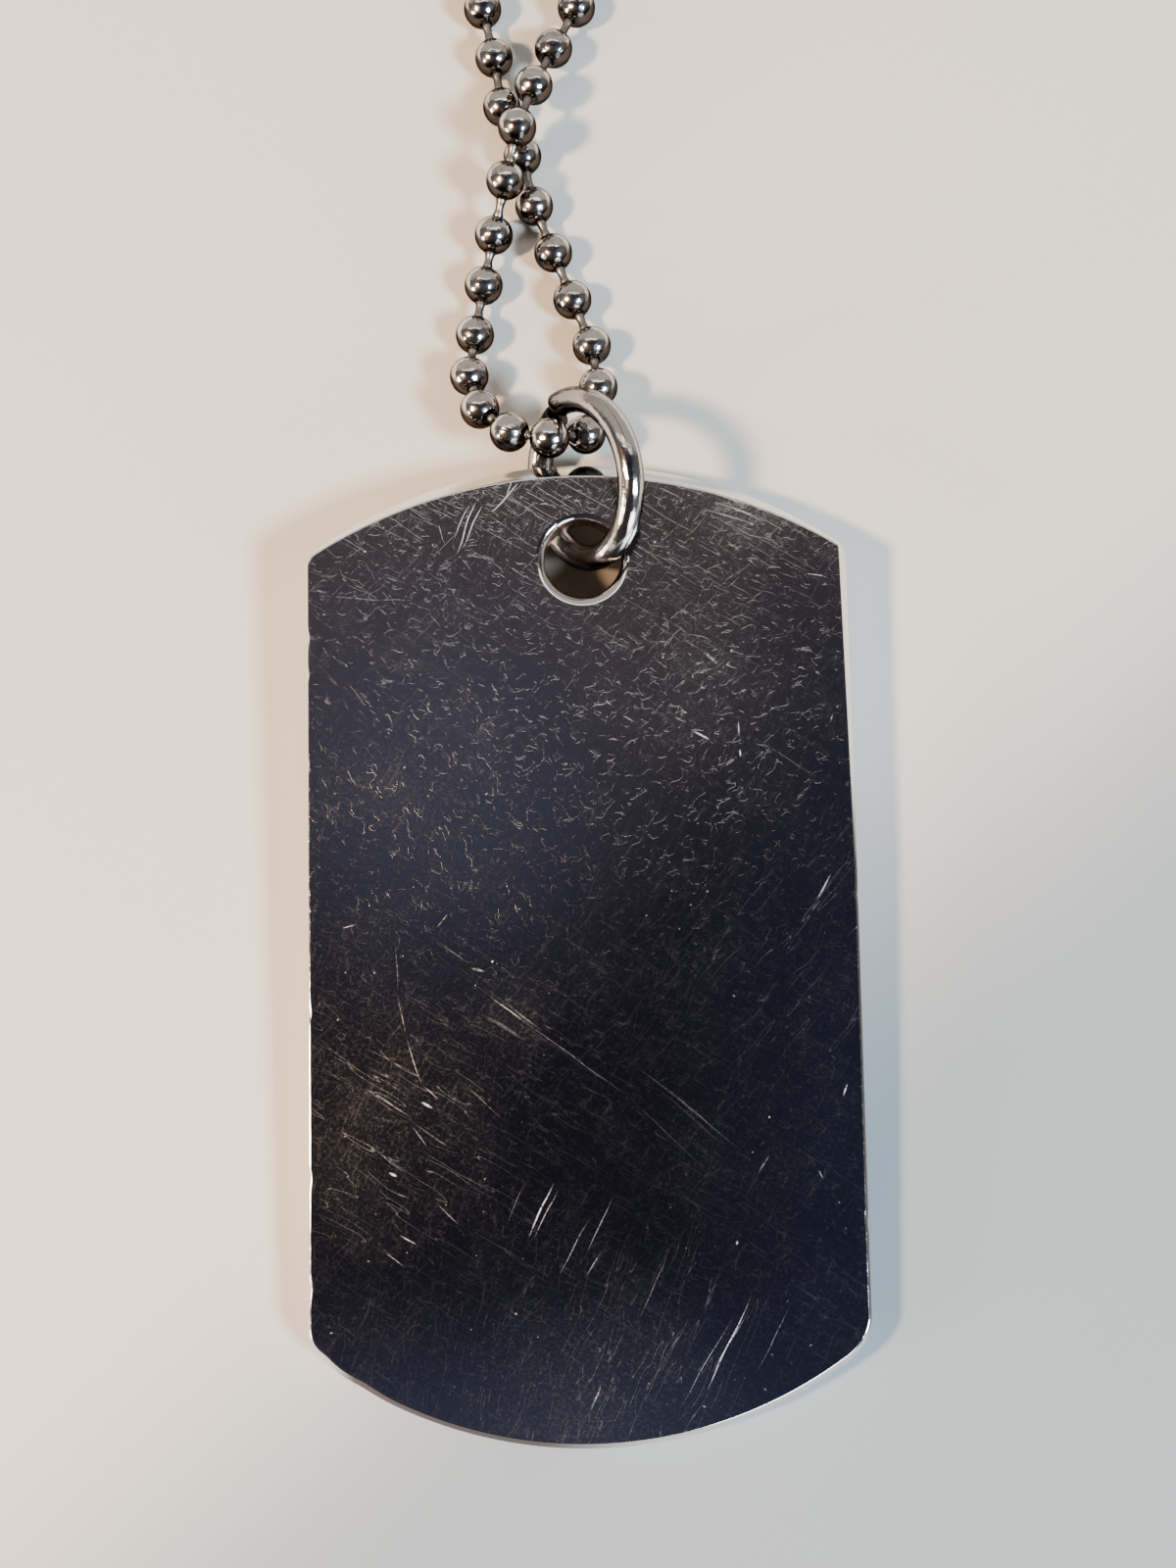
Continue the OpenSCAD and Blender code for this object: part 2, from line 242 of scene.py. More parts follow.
class Paint:
    """Adds nodes to one material or world."""

    MIX_COLOUR_INPUTS = (6, 7)
    MIX_COLOUR_OUTPUT = 2

    def __init__(self, owner):
        owner.use_nodes = True
        self.tree = owner.node_tree
        self.tree.nodes.clear()

    def add(self, kind, settings=None, inputs=None):
        """A node of a type, with its settings made first, then its inputs set or linked."""
        node = self.tree.nodes.new(kind)
        for name, value in (settings or {}).items():
            setattr(node, name, value)
        for name, value in (inputs or {}).items():
            socket = node.inputs[name]
            if isinstance(value, Signal):
                self.tree.links.new(value.socket, socket)
            elif isinstance(value, bpy.types.NodeSocket):
                self.tree.links.new(value, socket)
            else:
                socket.default_value = value
        return node

    def vector(self, operation, *values, scale=None):
        """A Vector Math node's vector output."""
        inputs = dict(enumerate(values))
        if scale is not None:
            inputs["Scale"] = scale
        return self.add("ShaderNodeVectorMath", {"operation": operation}, inputs).outputs["Vector"]

    def measure(self, operation, first, second=(0.0, 0.0, 0.0)):
        """A Vector Math node's value output."""
        node = self.add("ShaderNodeVectorMath", {"operation": operation}, {0: first, 1: second})
        return Signal(self, node.outputs["Value"])

    def place(self, origin=(0.0, 0.0, 0.0)):
        """Position on the piece in millimetres, from an origin in metres."""
        coordinates = self.add("ShaderNodeTexCoord").outputs["Object"]
        return self.vector("SCALE", self.vector("SUBTRACT", coordinates, tuple(origin)), scale=1 / MM)

    def spot(self, place, centre, outer, inner, low=0.0, high=1.0):
        """A round patch that goes from low at its outer radius to high at its inner one."""
        return self.measure("DISTANCE", place, centre).fade(outer, inner, low, high)

    def facing(self, way=(0.0, 0.0, 1.0)):
        """How far the surface faces a way, up if none is given: 1 towards it, -1 away from it."""
        normal = self.add("ShaderNodeNewGeometry").outputs["Normal"]
        return self.measure("DOT_PRODUCT", normal, way)

    def part(self, vector, axis):
        """One component of a vector."""
        return Signal(self, self.add("ShaderNodeSeparateXYZ", {}, {0: vector}).outputs[axis])

    def thrice(self, signal):
        """A vector that holds one signal in all its components."""
        return self.add("ShaderNodeCombineXYZ", {}, {0: signal, 1: signal, 2: signal}).outputs[0]

    def swayed(self, place, scale, reach):
        """The position pushed sideways by a noise, up to about reach millimetres."""
        grain = self.noise_node(place, scale, 1.0, 0.5).outputs["Color"]
        push = self.vector("SUBTRACT", grain, (0.5, 0.5, 0.5))
        moved = self.vector("ADD", place, self.vector("SCALE", push, scale=2 * reach))
        return self.vector("MULTIPLY", moved, (1.0, 1.0, 0.0))

    def turned(self, place, angle, along=1.0, across=1.0):
        """The position turned about the vertical, then scaled along and across."""
        rotated = self.add(
            "ShaderNodeVectorRotate", {"rotation_type": "Z_AXIS"}, {"Vector": place, "Angle": -angle}
        )
        return self.vector("MULTIPLY", rotated.outputs["Vector"], (along, across, 1.0))

    def noise_node(self, place, scale, detail, roughness):
        """A noise of a scale in waves a millimetre."""
        inputs = {"Vector": place, "Scale": scale, "Detail": detail, "Roughness": roughness}
        return self.add("ShaderNodeTexNoise", {}, inputs)

    def noise(self, place, scale, detail=2.0, roughness=0.5):
        """A noise signal from 0 to 1."""
        return Signal(self, self.noise_node(place, scale, detail, roughness).outputs["Fac"])

    def mix(self, amount, first, second):
        """A colour between two others, each a node's output or three numbers."""
        node = self.add("ShaderNodeMix", {"data_type": "RGBA"}, {"Factor": amount})
        for number, colour in zip(self.MIX_COLOUR_INPUTS, (first, second)):
            if isinstance(colour, bpy.types.NodeSocket):
                self.tree.links.new(colour, node.inputs[number])
            else:
                node.inputs[number].default_value = (*colour, 1.0)
        return node.outputs[self.MIX_COLOUR_OUTPUT]

    def layered(self, colour, *layers):
        """A colour with others laid over it in turn, each a pair of how much it covers and its colour."""
        for amount, cover in layers:
            colour = self.mix(amount, colour, cover)
        return colour

    def bump(self, height, strength, distance):
        """A normal from a height signal, its distance in metres."""
        inputs = {"Height": height, "Strength": strength, "Distance": distance}
        return self.add("ShaderNodeBump", {}, inputs).outputs["Normal"]

    def surface(self, inputs):
        """The material's shader and its output."""
        shader = self.add("ShaderNodeBsdfPrincipled", {}, inputs)
        self.add("ShaderNodeOutputMaterial", {}, {"Surface": shader.outputs["BSDF"]})

    def metal(self, colour, roughness, normal, outline=1.0):
        """A metal surface, with its brightness near the piece's outline."""
        self.surface({
            "Base Color": colour, "Metallic": 1.0, "Roughness": roughness, "Normal": normal,
            "Specular Tint": (outline, outline, outline, 1.0),
        })


def new_paint(name):
    """A new material and the paint that fills it."""
    material = bpy.data.materials.new(name)
    return material, Paint(material)


# The tag's own frame: middle of the plate's underside, +Y to the holed end, +Z out of the face


def tag_tilt(plate):
    """How far the holed end is lifted, as an angle."""
    return math.asin(plate.lift / (plate.length - plate.edge))


def tag_matrix(plate):
    """From the tag's own frame to the row's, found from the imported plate's box."""
    low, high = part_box("tag_plate")
    tilt = tag_tilt(plate)
    reach = plate.length / 2 * math.cos(tilt) + (plate.thickness - plate.edge) * math.sin(tilt)
    rise = (plate.length / 2 - plate.edge) * math.sin(tilt)
    origin = Vector(((low.x + high.x) / 2, low.y + reach, rise))
    return Matrix.Translation(origin) @ Matrix.Rotation(tilt, 4, "X")


def floor_origin(plate):
    """The tag's middle on the surface, from which the chain and the ring are placed."""
    origin = tag_matrix(plate).translation
    return Vector((origin.x, origin.y, 0.0))


def add_piece(name, built, material, node):
    """An object from a built mesh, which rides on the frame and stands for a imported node."""
    bmesh.ops.recalc_face_normals(built, faces=built.faces)
    mesh = bpy.data.meshes.new(name)
    built.to_mesh(mesh)
    built.free()
    mesh.materials.append(material)
    mesh.shade_smooth()
    piece = bpy.data.objects.new(name, mesh)
    bpy.context.scene.collection.objects.link(piece)
    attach(piece, "root")
    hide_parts(node)


def built_from(vertices, faces):
    """A built mesh from lists of vertices and faces."""
    built = bmesh.new()
    corners = [built.verts.new(spot) for spot in vertices]
    for face in faces:
        built.faces.new([corners[i] for i in face])
    return built


def skin(first, rings, sides):
    """Faces between rings of vertices, the first of which starts at index first."""
    faces = []
    for r in range(rings - 1):
        for s in range(sides):
            n = (s + 1) % sides
            a = first + r * sides
            b = a + sides
            faces.append((a + s, a + n, b + n, b + s))
    return faces


def tube(stations, sides):
    """Vertices and faces of a closed tube, from a middle, a radius and two directions at each station."""
    vertices = []
    for centre, radius, side, top in stations:
        for s in range(sides):
            around = 2 * math.pi * s / sides
            vertices.append(centre + radius * (side * math.cos(around) + top * math.sin(around)))
    last = len(vertices) - sides
    ends = [tuple(range(sides)), tuple(last + s for s in reversed(range(sides)))]
    return vertices, skin(0, len(stations), sides) + ends


# Plate

# Steps along the parts of the outline and round the hole, and round the rims' own roundings
SIDE_STEPS = 150
HEAD_STEPS = 120
FOOT_STEPS = 112
CORNER_STEPS = 12
FOOT_CORNER_STEPS = 20
HOLE_STEPS = 128
RIM_SEGMENTS = 5
HOLE_SEGMENTS = 7
# Width of the narrow strip of face that keeps a rim's shading its own
LIP = 0.04 * MM
# Most of a straight run that one rounding takes, and how many edge widths a profile runs on past it
ROUNDING_ROOM = 0.46
RUN_OUT = 3
# How far to the right a direction has to point for the side bevel, and to the plain end for its wear
SIDEWAYS = 0.35
END_TURN = (0.1, 0.75)
# How much crisper the edges are where a bevel is ground and along the plain end
GROUND_CRISP = 0.3
END_CRISP = 0.6
# How fast a knock fades down the wall, next to how fast it fades along it
KNOCK_DROP = 0.8


class Station:
    """A point of the plate's outline with its outward direction."""

    def __init__(self, point, outward):
        self.point = point
        self.outward = outward


def arc_stations(centre, radius, start, end, count):
    """Stations round an arc, without its last one."""
    stations = []
    for i in range(count):
        angle = start + (end - start) * i / count
        outward = Vector((math.cos(angle), math.sin(angle)))
        stations.append(Station(Vector(centre) + radius * outward, outward))
    return stations


def side_stations(x, y_from, y_to, count):
    """Stations down a straight side, without its last one."""
    outward = Vector((math.copysign(1.0, x), 0.0))
    return [Station(Vector((x, y_from + (y_to - y_from) * i / count)), outward) for i in range(count)]


def corner_meet(plate, radius):
    """Where a corner's middle lies, and the angle at which it meets the curved end."""
    end_y = plate.length / 2 - plate.end_radius
    x = plate.width / 2 - radius
    y = end_y + math.sqrt((plate.end_radius - radius) ** 2 - x**2)
    return x, y, math.atan2(y - end_y, x)


def plate_outline(plate):
    """The stations round the plate, counter-clockwise from the right side's foot."""
    end_y = plate.length / 2 - plate.end_radius
    half, turn = plate.width / 2, math.pi
    small, foot, large = plate.corner_radius, plate.foot_radius, plate.end_radius
    corner_x, corner_y, meet = corner_meet(plate, small)
    foot_x, foot_y, foot_meet = corner_meet(plate, foot)
    return (
        side_stations(half, -foot_y, corner_y, SIDE_STEPS)
        + arc_stations((corner_x, corner_y), small, 0, meet, CORNER_STEPS)
        + arc_stations((0, end_y), large, meet, turn - meet, HEAD_STEPS)
        + arc_stations((-corner_x, corner_y), small, turn - meet, turn, CORNER_STEPS)
        + side_stations(-half, corner_y, -foot_y, SIDE_STEPS)
        + arc_stations((-foot_x, -foot_y), foot, turn, turn + foot_meet, FOOT_CORNER_STEPS)
        + arc_stations((0, -end_y), large, turn + foot_meet, 2 * turn - foot_meet, FOOT_STEPS)
        + arc_stations((foot_x, -foot_y), foot, 2 * turn - foot_meet, 2 * turn, FOOT_CORNER_STEPS)
    ), corner_y


def end_bevel_inset(plate, station):
    """How far in from the wall the face's edge lies at the holed end's bevel."""
    centre = Vector((0, plate.length / 2 - plate.bevel_set - plate.bevel_radius))
    away = station.point - centre
    if station.point.y < 0:
        return 0.0
    along = away.dot(station.outward)
    rest = along**2 - (away.length_squared - plate.bevel_radius**2)
    return max(0.0, along - math.sqrt(max(rest, 0.0)))


def side_bevel_inset(plate, station, corner_y):
    """The same at the right edge's bevel, which runs out downwards."""
    if station.outward.x < SIDEWAYS or station.point.y < 0:
        return 0.0
    start = corner_y - plate.side_bevel_length
    run = (station.point.y - start) * plate.side_bevel_width / plate.side_bevel_length
    line = plate.width / 2 - plate.side_round - run
    if run < 0:
        return 0.0
    return max(0.0, (station.point.x - line) / station.outward.x)


def rounded(points, radii, segments):
    """A polyline with its inner corners rounded."""
    out = [points[0]]
    for i in range(1, len(points) - 1):
        corner, before, after = points[i], points[i - 1], points[i + 1]
        to_before = (before - corner).normalized()
        to_after = (after - corner).normalized()
        opening = to_before.angle(to_after)
        room = ROUNDING_ROOM * min((before - corner).length, (after - corner).length)
        reach = min(radii[i - 1] / math.tan(opening / 2), room)
        radius = reach * math.tan(opening / 2)
        middle = corner + (to_before + to_after).normalized() * (radius / math.sin(opening / 2))
        start = corner + to_before * reach - middle
        end = corner + to_after * reach - middle
        for s in range(segments + 1):
            out.append(middle + start.lerp(end, s / segments).normalized() * radius)
    out.append(points[-1])
    return out


KNOCKS = (
    # side, place up the side, radius, depth, in millimetres
    (-1, 15.8, 0.35, 0.10),
    (-1, 13.9, 0.25, 0.07),
    (-1, 9.2, 0.30, 0.06),
    (-1, -3.4, 0.28, 0.07),
    (-1, -11.6, 0.32, 0.08),
    (-1, -16.9, 0.40, 0.09),
    (1, -14.2, 0.30, 0.06),
    (1, 2.1, 0.26, 0.05),
    (-1, -20.6, 0.50, 0.10),
    (-1, -21.9, 0.45, 0.09),
)


def knock(plate, point, height):
    """How far a small knock in the long edges pushes this point of the rim in."""
    push = 0.0
    for side, up, radius, depth in KNOCKS:
        if point.x * side < 0:
            continue
        away = math.hypot(point.y - up * MM, (plate.thickness - height) * KNOCK_DROP)
        push += depth * MM * math.exp(-((away / (radius * MM)) ** 2))
    return push


def smooth_step(x, low, high):
    """A smooth step from 0 at low to 1 at high."""
    t = min(1.0, max(0.0, (x - low) / (high - low)))
    return t * t * (3 - 2 * t)


def station_profile(plate, station, corner_y):
    """Inset and height of the rim's points at a station, from the back face to the front."""
    thick = plate.thickness
    endward = smooth_step(-station.outward.y, *END_TURN)
    soft = plate.side_round + (plate.end_round - plate.side_round) * endward
    slope = plate.bevel_drop / plate.bevel_set
    bevel = max(end_bevel_inset(plate, station), side_bevel_inset(plate, station, corner_y))
    inset = max(soft, bevel)
    slant = 1.0 + (plate.end_slant - 1.0) * endward
    drop = min(max(soft * slant, inset * slope if bevel > soft else 0.0), thick - 2 * plate.edge)
    ground = min(1.0, max(0.0, (inset - soft) / soft))
    crisp = soft * (1.0 - GROUND_CRISP * ground) * (1.0 - END_CRISP * endward)
    reach = RUN_OUT * plate.edge
    points = [
        Vector((reach, 0)), Vector((0, 0)), Vector((0, thick - drop)),
        Vector((inset, thick)), Vector((inset + reach, thick)),
    ]
    profile = rounded(points, (plate.edge, crisp, crisp), RIM_SEGMENTS)
    profile[0] = Vector((profile[1].x + LIP, 0))
    profile[-1] = Vector((profile[-2].x + LIP, thick))
    return profile


def hole_profile(plate, angle):
    """Radius and height down the hole at an angle round it, with rims more worn towards the plain end."""
    radius = plate.hole_diameter / 2
    thick = plate.thickness
    rim = plate.hole_rim * (1.0 - plate.rim_wear * math.sin(angle))
    reach = radius + RUN_OUT * rim
    points = [Vector((reach, thick)), Vector((radius, thick)), Vector((radius, 0)), Vector((reach, 0))]
    profile = rounded(points, (rim, rim), HOLE_SEGMENTS)
    profile[0] = Vector((profile[1].x + LIP, thick))
    profile[-1] = Vector((profile[-2].x + LIP, 0))
    return profile


def fill_between(mesh, outer, inner):
    """Flat faces between an outline and a hole in it."""
    edges = []
    for loop in (outer, inner):
        for i, vertex in enumerate(loop):
            after = loop[(i + 1) % len(loop)]
            edges.append(mesh.edges.get((vertex, after)) or mesh.edges.new((vertex, after)))
    bmesh.ops.triangle_fill(mesh, use_beauty=True, use_dissolve=False, edges=edges)


def plate_mesh(plate):
    """The whole plate as a mesh in its own frame."""
    outline, corner_y = plate_outline(plate)
    mesh = bmesh.new()
    rim = []
    for station in outline:
        column = []
        for inset, height in station_profile(plate, station, corner_y):
            push = knock(plate, station.point, height)
            spot = station.point - station.outward * (inset + push)
            column.append(mesh.verts.new((spot.x, spot.y, height)))
        rim.append(column)
    for i, column in enumerate(rim):
        after = rim[(i + 1) % len(rim)]
        for k in range(len(column) - 1):
            mesh.faces.new((column[k], after[k], after[k + 1], column[k + 1]))
    centre = Vector((plate.hole_offset, plate.length / 2 - plate.hole_inset))
    columns = []
    for s in range(HOLE_STEPS):
        angle = 2 * math.pi * s / HOLE_STEPS
        outward = Vector((math.cos(angle), math.sin(angle)))
        spots = [(centre + radius * outward, height) for radius, height in hole_profile(plate, angle)]
        columns.append([mesh.verts.new((spot.x, spot.y, height)) for spot, height in spots])
    wall = list(zip(*columns))
    for upper, lower in zip(wall, wall[1:]):
        for s in range(HOLE_STEPS):
            n = (s + 1) % HOLE_STEPS
            mesh.faces.new((upper[s], upper[n], lower[n], lower[s]))
    fill_between(mesh, [column[-1] for column in rim], wall[0])
    fill_between(mesh, [column[0] for column in rim], wall[-1])
    return mesh


SCRATCHES = (
    # from right, from up, to right, to up, half width, strength: millimetres from the plate's middle
    (-1.7, -12.0, -3.0, -14.7, 0.050, 1.00),
    (-1.45, -12.3, -2.75, -14.8, 0.026, 0.70),
    (1.2, -12.8, -0.1, -15.5, 0.028, 0.60),
    (0.1, -13.8, -1.5, -16.6, 0.026, 0.55),
    (0.6, -15.4, -0.1, -16.6, 0.034, 0.60),
    (8.0, -17.7, 5.7, -22.2, 0.034, 0.90),
    (7.4, -18.9, 6.9, -19.9, 0.045, 0.60),
    (7.2, -18.4, 4.4, -23.1, 0.030, 0.50),
    (7.9, -18.3, 5.9, -21.5, 0.024, 0.55),
    (10.0, -18.0, 8.2, -21.5, 0.024, 0.45),
    (0.5, -21.8, -0.0, -23.1, 0.045, 0.60),
    (-3.1, -11.9, -4.1, -14.1, 0.026, 0.42),
    (4.0, -15.2, 2.4, -19.0, 0.026, 0.40),
    (9.1, -10.8, 8.5, -11.7, 0.040, 0.50),
    (-4.7, -2.8, -2.8, -4.1, 0.045, 0.62),
    (-3.4, -3.7, 2.1, -7.8, 0.034, 0.42),
    (2.1, -7.8, 5.8, -11.4, 0.040, 0.26),
    (-4.0, -3.0, -2.2, -4.4, 0.070, 0.34),
    (-5.2, -3.6, -3.0, -4.9, 0.120, 0.26),
    (2.5, -6.2, 7.7, -10.5, 0.060, 0.32),
    (3.6, -7.4, 7.0, -10.4, 0.060, 0.20),
    (-9.5, 0.4, -9.4, -2.5, 0.020, 0.40),
    (-9.4, -2.5, -9.0, -4.6, 0.026, 0.45),
    (-9.0, -4.6, -8.2, -7.1, 0.032, 0.55),
    (-8.2, -7.1, -7.4, -7.8, 0.036, 0.55),
    (-8.3, -7.9, -7.7, -8.2, 0.080, 0.95),
    (-9.9, -11.3, -9.5, -11.5, 0.080, 0.90),
    (-9.4, -14.4, -8.5, -14.9, 0.046, 0.75),
    (-10.2, -15.2, -9.1, -16.0, 0.036, 0.50),
    (-5.7, -1.2, -5.0, -1.4, 0.080, 0.62),
    (-4.68, -0.9, -4.6, -1.0, 0.080, 0.95),
    (13.2, -7.4, 12.9, -8.0, 0.055, 0.75),
    (7.4, -15.0, 7.38, -15.2, 0.075, 0.90),
    (9.2, -8.9, 9.3, -8.95, 0.080, 0.75),
    (11.5, -11.6, 11.8, -12.1, 0.040, 0.55),
    (-7.4, 0.2, -5.7, -1.0, 0.034, 0.40),
    (-11.0, -7.2, -8.8, -8.7, 0.050, 0.40),
    (-8.8, -8.9, -6.6, -10.3, 0.050, 0.32),
    (-6.1, -7.0, -4.2, -8.8, 0.036, 0.34),
    (-7.5, -12.9, -6.4, -14.0, 0.050, 0.44),
    (-8.8, -9.1, -8.0, -10.1, 0.030, 0.50),
    (-10.6, -10.2, -9.0, -11.4, 0.040, 0.36),
    (-5.2, 22.7, -6.2, 20.2, 0.046, 0.95),
    (-4.85, 22.5, -5.9, 20.4, 0.036, 0.85),
    (-5.5, 22.6, -6.35, 20.9, 0.030, 0.70),
    (-3.0, 23.7, -4.3, 22.2, 0.044, 0.95),
    (-3.2, 24.0, -3.7, 22.9, 0.030, 0.75),
    (-7.1, 21.7, -6.9, 20.7, 0.026, 0.55),
    (7.2, 22.6, 9.7, 21.6, 0.060, 0.34),
    (6.6, 22.2, 9.2, 21.4, 0.060, 0.26),
    (7.6, 22.9, 8.8, 22.4, 0.060, 0.34),
    (8.3, 22.9, 10.2, 22.1, 0.060, 0.28),
    (11.9, 18.7, 12.7, 18.6, 0.034, 0.55),
    (5.8, 10.7, 6.6, 10.2, 0.060, 0.85),
    (8.2, 11.1, 8.2, 10.3, 0.036, 0.85),
    (8.2, 9.6, 8.2, 9.2, 0.055, 0.95),
    (12.6, 3.2, 11.9, 1.9, 0.060, 0.75),
    (13.0, 11.4, 12.8, 10.9, 0.034, 0.60),
    (-13.5, 18.0, -8.0, 17.6, 0.014, 0.22),
    (8.5, 10.5, 12.9, 7.6, 0.026, 0.32),
    (-3.4, 2.0, -3.3, 1.5, 0.040, 0.60),
    (-7.4, 0.9, -6.9, 1.6, 0.040, 0.60),
    (-12.2, 0.9, -11.5, 1.1, 0.040, 0.65),
    (6.4, 14.8, 7.2, 14.0, 0.110, 0.36),
    (10.0, 9.1, 10.1, 9.0, 0.060, 0.60),
    (1.3, 12.4, 1.7, 12.0, 0.036, 0.50),
    (2.1, 11.6, 3.0, 11.1, 0.030, 0.45),
)

STREAKS = (
    # direction in degrees, lines a millimetre, length share, sparseness, strength,
    # then where they gather: right, up and reach in millimetres
    (-33, 2.4, 0.10, 0.47, 0.30, -9.0, -9.0, 10.0),
    (-31, 3.6, 0.13, 0.50, 0.22, -4.0, -5.0, 12.0),
    (66, 2.8, 0.10, 0.51, 0.26, 4.0, -20.0, 9.0),
    (78, 3.8, 0.16, 0.50, 0.20, -3.0, -21.0, 11.0),
    (48, 2.6, 0.12, 0.50, 0.28, 11.0, -1.0, 8.0),
)

CURLS = (
    # the same for short curled marks, which lie in every direction
    (38, 3.0, 0.34, 0.55, 0.36, 5.0, 9.0, 13.0),
    (112, 3.3, 0.38, 0.56, 0.34, -6.0, 8.0, 15.0),
    (8, 3.2, 0.34, 0.58, 0.17, -6.0, 16.0, 14.0),
    (150, 4.6, 0.42, 0.57, 0.27, 2.0, 6.0, 26.0),
)

HAZES = (
    # right, up, reach in millimetres, strength: soft patches of finer wear
    (-7.4, 8.1, 9.0, 0.32),
    (-9.7, -8.0, 10.0, 0.38),
    (-4.0, -3.6, 4.0, 0.45),
    (8.6, 22.1, 3.6, 0.5),
    (0.0, -23.5, 9.0, 0.5),
    (6.0, 13.0, 9.0, 0.4),
)


# Share of its strength that a scratch loses at its ends
SCRATCH_TAPER = 0.75
# A streak's width, the softness of its breaks, and where and how weakly its field goes on
HAIR_WIDTH = (0.014, 0.002)
BREAK_EDGE = 0.14
CORE_SHARE = 0.2
FAR_STRENGTH = 0.12
SEED_SHIFT = (7.3, 3.1, 1.7)
# Roughness of the clean face, and what smudges, grain, wear and marks add to it
POLISH = 0.068
SMUDGE_HAZE = 0.02
GRAIN_HAZE = 0.04
WORN_GRAIN = 0.055
WORN_HAZE = 0.075
MARK_HAZE = 0.46
SPECK_STRENGTH = 0.45
# Spots where the marks carry painted warm reflection, golden or brown, in millimetres from the plate's middle
GOLDEN_REFLECTION_SPOT = (8.6, 22.1, 0.0)
BROWN_SHEEN_SPOT = (-5.5, -4.5, 0.0)
# Where the brown on the plain end's rim and the painted shade on the right long edge begin and are full, in
# millimetres right of or up from the middle
FOOT_RIGHT = (3.5, -3.0)
FOOT_LEFT = (-12.9, -11.6)
FOOT_TOP = (-19.5, -21.0)
SIDE_RIGHT = (13.70, 13.84)
SIDE_TOP = (9.0, 4.0)
SIDE_BOTTOM = (-20.5, -18.5)
# How strongly the brown on the rim and the painted shade in the hole and on the right edge cover the metal
DARKENING_STRENGTH = 0.9
# Depth of the relief in the metal's polish
FINE_RELIEF = 0.02 * MM
SOFT_RELIEF = 0.05 * MM


def scratch_lines(paint, place):
    """All the long scratches as a signal, worked out three at a time in a vector's components."""
    across, up = (paint.thrice(paint.part(place, axis)) for axis in "XY")
    found = None
    for i in range(0, len(SCRATCHES), 3):
        rows = (SCRATCHES[i : i + 3] * 3)[:3]
        starts = [Vector(row[0:2]) for row in rows]
        runs = [Vector(row[2:4]) - start for row, start in zip(rows, starts)]
        ways = [run.normalized() for run in runs]
        sides = [Vector((-way.y, way.x)) for way in ways]
        places = []
        for lines in (ways, sides):
            shift = [-start.dot(line) for start, line in zip(starts, lines)]
            part = paint.vector("MULTIPLY_ADD", up, [line.y for line in lines], shift)
            places.append(paint.vector("MULTIPLY_ADD", across, [line.x for line in lines], part))
        along, beside = places
        kept = paint.vector("MAXIMUM", along, (0.0, 0.0, 0.0))
        kept = paint.vector("MINIMUM", kept, [run.length for run in runs])
        beyond = paint.vector("SUBTRACT", along, kept)
        square = paint.vector("MULTIPLY_ADD", beyond, beyond, paint.vector("MULTIPLY", beside, beside))
        centred = paint.vector("MULTIPLY_ADD", kept, [2 / run.length for run in runs], (-1.0, -1.0, -1.0))
        loss = [-SCRATCH_TAPER * row[5] for row in rows]
        strength = [row[5] for row in rows]
        taper = paint.vector("MULTIPLY_ADD", paint.vector("MULTIPLY", centred, centred), loss, strength)
        slope = [-row[5] / row[4] ** 2 for row in rows]
        mark = paint.vector("MULTIPLY_ADD", square, slope, taper)
        found = paint.vector("MAXIMUM", mark, found if found is not None else (0.0, 0.0, 0.0))
    return paint.part(found, "X").highest(paint.part(found, "Y")).highest(paint.part(found, "Z"))


def streak_field(paint, place, row, seed):
    """A field of fine scratches in one direction."""
    degrees, lines, share, sparse, strength, right, up, reach = row
    warped = paint.turned(place, math.radians(degrees), lines * share, lines)
    shifted = paint.vector("ADD", warped, [seed * shift for shift in SEED_SHIFT])
    thin = abs(paint.noise(shifted, 1.0, 1.0, 0.4) - 0.5)
    broken = paint.noise(shifted, 0.9, 0.0).fade(sparse, sparse + BREAK_EDGE)
    near = paint.spot(place, (right, up, 0.0), reach, reach * CORE_SHARE, FAR_STRENGTH, strength)
    return thin.fade(*HAIR_WIDTH) * broken * near


def hole_middle(plate, further_up=0.0):
    """The hole's middle, right and up from the plate's own in millimetres."""
    return (plate.hole_offset / MM, (plate.length / 2 - plate.hole_inset) / MM + further_up, 0.0)


def plate_marks(paint, flat):
    """All the scratches, streaks and curls of the face as one signal."""
    bent = paint.swayed(flat, 0.40, 0.16)
    curled = paint.swayed(flat, 1.3, 0.45)
    ragged = paint.noise(flat, 5.0, 2.0, 0.6).fade(0.30, 0.52, 0.40, 1.0)
    marks = scratch_lines(paint, bent) * ragged * paint.facing().fade(-0.2, 0.2)
    for seed, row in enumerate(STREAKS, start=1):
        marks = marks.highest(streak_field(paint, bent, row, seed))
    for seed, row in enumerate(CURLS, start=len(STREAKS) + 1):
        marks = marks.highest(streak_field(paint, curled, row, seed))
    return marks


